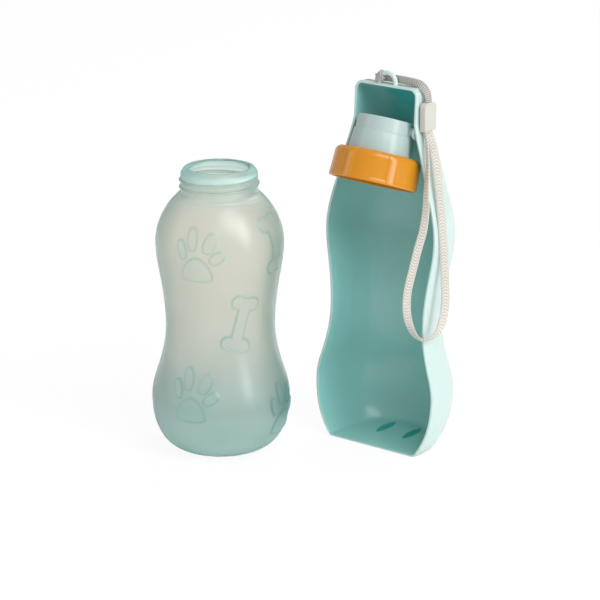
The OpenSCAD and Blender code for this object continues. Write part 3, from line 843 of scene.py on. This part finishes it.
def makeTray(settings):
    bm = traySkin(settings, settings["wall"])
    # the inner skin takes the darker copy of the plastic: painted shade
    for face in bm.faces:
        face.material_index = 1
    addMesh(bm, traySkin(settings, 0.0))
    rims = [e for e in bm.edges if e.is_boundary]
    rimFaces = bmesh.ops.bridge_loops(bm, edges=rims)["faces"]
    bmesh.ops.recalc_face_normals(bm, faces=bm.faces)
    for face in rimFaces:
        face.material_index = 0
    corners = {e for f in rimFaces for e in f.edges if any(g not in rimFaces for g in e.link_faces)}
    bmesh.ops.bevel(bm, geom=list(corners), offset=settings["rimRound"], segments=3, profile=0.5,
                    affect="EDGES", clamp_overlap=True, material=-1)
    return bm


trayPiece = finishPiece(makeTray(tray), "drinkingTray", trayPlastic, "tray", sharp=50)
trayPiece.data.materials.append(trayShadedInside)
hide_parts("tray_shell")
print("tray made:", len(trayPiece.data.polygons), "faces")


# eye for a lanyard, and the bosses of the fold hinge
def makeEye(eye):
    bm = bmesh.new()
    ring = bmesh.ops.create_circle(bm, cap_ends=False, segments=24, radius=eye["bar"] / 2)["verts"]
    middle = (eye["width"] - eye["bar"]) / 2
    bmesh.ops.rotate(bm, cent=(0, 0, 0), matrix=turned(90, "X"), verts=ring)
    bmesh.ops.translate(bm, vec=(middle, 0, 0), verts=ring)
    bmesh.ops.spin(bm, geom=list(bm.verts) + list(bm.edges), cent=(0, 0, 0), axis=(0, 0, 1),
                   dvec=(0, 0, 0), angle=math.pi, steps=40)
    ends = [e for e in bm.edges if e.is_boundary]
    grown = bmesh.ops.extrude_edge_only(bm, edges=ends)["geom"]
    feet = [g for g in grown if isinstance(g, bmesh.types.BMVert)]
    bmesh.ops.translate(bm, vec=(0, -eye["leg"] - 0.6, 0), verts=feet)
    bmesh.ops.holes_fill(bm, edges=[e for e in bm.edges if e.is_boundary], sides=0)
    return finishPiece(bm, "lanyardEye", trayPlastic, "tray", onEye, sharp=50)


eyePiece = makeEye(lanyardEye)
bossBm = bmesh.new()
for side in (-1, 1):
    addMesh(bossBm, roundBar(hinge["bossRadius"], hinge["bossThick"], 0.25),
            onHinge @ Matrix.Translation((side * hinge["bossAt"], 0, 0)) @ turned(90, "Y"))
bossPiece = finishPiece(bossBm, "hingeBosses", trayPlastic, "tray")
print("eye and hinge bosses made")


# spout, measured along its axis from the fold axis
spout = {
    # corners: radius, height and rounding
    "outline": [(4, 5.0, 0.3), (16.9, 5.0, 0.6), (17.08, -3.2, 0.15), (17.7, -3.3, 0.4),
                (18.85, -15.6, 0), (18.9, -17.1, 0), (22.6, -17.1, 0.2), (22.6, -18.2, 0.2),
                (17.2, -18.2, 0), (17.2, -24.2, 0.4), (15.8, -24.2, 0.4), (15.8, -15.6, 0.2),
                (16.3, -6.2, 0.5), (15.4, -4.7, 0.5), (15.4, 3.5, 0.5), (8.2, 3.5, 0.2),
                (8.2, 0.7, 0.2), (7.0, 0.7, 0.1), (7.0, 3.5, 0), (4, 3.5, 0), (4, 5.0, 0)],
    "turns": 144,
    # hinge bars on each side: radius, length, middle and rim
    "bars": [(3.0, 4.8, 16.8, 0.3), (2.0, 3.0, 19.8, 0.2)],
}
spoutBm = lathe(roundedCorners(spout["outline"], 0.3), spout["turns"])
for side in (-1, 1):
    for radius, length, middle, rim in spout["bars"]:
        addMesh(spoutBm, roundBar(radius, length, rim),
                Matrix.Translation((side * middle, hinge["fore"], 0)) @ turned(90, "Y"))
spoutPiece = finishPiece(spoutBm, "hingedSpout", spoutPlastic, "spout", inSpout, sharp=38)
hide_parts("spout_body")
print("spout made")


# screw collar with shallow grip panels
collar = {
    "height": 18.5,
    "foot": -34.1,
    "footRadius": 26.6,
    "topRadius": 25.8,
    "round": 3.0,
    "bore": 24.4,
    "plate": 1.4,
    "hole": 19.1,
    "panels": 6,
    "panelAngle": 48.0,
    "panelStart": 32.4,
    "panelDepth": 0.45,
    "band": 2.0,
}


def makeCollar(settings):
    h, rounding = settings["height"], settings["round"]
    foot, top = settings["footRadius"], settings["topRadius"]
    bore, hole, under = settings["bore"], settings["hole"], h - settings["plate"]
    wallRows = [(mix(foot, top + 0.15, t / 26), mix(0.5, h - rounding, t / 26)) for t in range(27)]
    bend = [(top - rounding + rounding * math.cos(a), h - rounding + rounding * math.sin(a))
            for a in [math.radians(9 * i) for i in range(1, 11)]]
    points = [(bore, 0.4), (bore + 0.4, 0), (foot - 0.5, 0), (foot - 0.1, 0.15)]
    points += wallRows + bend
    points += [(hole + 0.3, h), (hole, h - 0.3), (hole, under), (bore, under), (bore, 0.4)]
    bm = lathe(points, 432)
    wide = math.radians(settings["panelAngle"]) / 2
    step = math.tau / settings["panels"]
    for vert in bm.verts:
        x, y, z = vert.co
        r = math.hypot(x, y)
        angle = (math.atan2(y, x) - math.radians(settings["panelStart"])) % step - wide
        if r < hole + 2.6 or z < 0.6 or z > h - 0.2 or (r < bore + 0.2 and z < under + 0.1):
            continue
        above = ease((z - settings["band"]) / 0.6 + 0.5)
        inward = ease((wide - abs(angle)) * r / 0.8 + 0.5) * above
        rib = math.exp(-(((abs(angle) - wide) * r + 0.7) / 0.35) ** 2) * above
        scale = 1 - (settings["panelDepth"] * inward - 0.12 * rib) / r
        vert.co = (x * scale, y * scale, z)
    return bm


collarPiece = finishPiece(makeCollar(collar), "screwCollar", amberPlastic, "collar",
                          inSpout @ Matrix.Translation((0, 0, collar["foot"])), sharp=38)
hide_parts("collar_ring")
print("collar made:", len(collarPiece.data.polygons), "faces")


# inner pieces keep their solids
for nodeName, material in (("slit_valve", silicone), ("neck_gasket", silicone),
                           ("valve_retainer", spoutPlastic)):
    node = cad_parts[nodeName]
    node.data.materials.clear()
    node.data.materials.append(material)


# floor, backdrop and lights
studio = {
    "floorColour": rgb(250, 250, 250),
    "floorGlow": 0.88,
    "ambient": 0.48,
    "lights": [
        # name, place, size, power, aim
        ("keyLight", (1.85, -0.1, 1.0), (0.7, 1.7), 16.0, (0, 0, 0.1)),
        ("topLight", (1.4, -0.65, 1.8), (1.6, 1.6), 19.0, (0, 0, 0.1)),
        ("fillLight", (-1.3, -1.3, 0.8), (0.3, 2.0), 2.8, (-0.04, -0.03, 0.1)),
        ("backLight", (-0.4, 1.4, 1.5), (1.3, 1.3), 9.0, (-0.03, 0, 0.12)),
    ],
}


def seenRays(tree):
    # 1 for rays that show the backdrop itself, straight on or through a piece
    path = addNode(tree, "ShaderNodeLightPath")
    seen = addNode(tree, "ShaderNodeMath", operation="MAXIMUM")
    tree.links.new(path.outputs["Is Camera Ray"], seen.inputs[0])
    tree.links.new(path.outputs["Is Transmission Ray"], seen.inputs[1])
    return seen.outputs["Value"]


def addStudio(settings):
    bm = bmesh.new()
    bmesh.ops.create_grid(bm, x_segments=1, y_segments=1, size=6)
    mesh = bpy.data.meshes.new("studioFloor")
    bm.to_mesh(mesh)
    bm.free()
    ground = bpy.data.objects.new("studioFloor", mesh)
    bpy.context.scene.collection.objects.link(ground)
    material, tree, shader = newMaterial("studioWhite")
    shader.inputs["Base Color"].default_value = settings["floorColour"]
    shader.inputs["Roughness"].default_value = 0.9
    shader.inputs["Specular IOR Level"].default_value = 0.2
    glow = addNode(tree, "ShaderNodeEmission", Color=(1, 1, 1, 1), Strength=1.02)
    blend = addNode(tree, "ShaderNodeMixShader")
    fade = addNode(tree, "ShaderNodeMath", operation="MULTIPLY")
    fade.inputs[1].default_value = settings["floorGlow"]
    tree.links.new(seenRays(tree), fade.inputs[0])
    tree.links.new(fade.outputs["Value"], blend.inputs["Fac"])
    tree.links.new(shader.outputs["BSDF"], blend.inputs[1])
    tree.links.new(glow.outputs["Emission"], blend.inputs[2])
    tree.links.new(blend.outputs["Shader"], tree.nodes["Material Output"].inputs["Surface"])
    mesh.materials.append(material)

    world = bpy.data.worlds.new("studioWorld")
    bpy.context.scene.world = world
    world.use_nodes = True
    tree = world.node_tree
    air = tree.nodes["Background"]
    air.inputs["Color"].default_value = (1, 1, 1, 1)
    level = addNode(tree, "ShaderNodeMapRange")
    level.inputs["To Min"].default_value = settings["ambient"]
    level.inputs["To Max"].default_value = 1.0
    tree.links.new(seenRays(tree), level.inputs["Value"])
    tree.links.new(level.outputs["Result"], air.inputs["Strength"])

    for name, place, size, power, aim in settings["lights"]:
        data = bpy.data.lights.new(name, "AREA")
        data.shape = "ELLIPSE"
        data.size, data.size_y = size
        data.energy = power
        lamp = bpy.data.objects.new(name, data)
        bpy.context.scene.collection.objects.link(lamp)
        lamp.location = place
        away = Vector(aim) - Vector(place)
        lamp.rotation_euler = away.to_track_quat("-Z", "Y").to_euler()


addStudio(studio)
bpy.context.scene.view_settings.view_transform = "Standard"
print("studio lit")
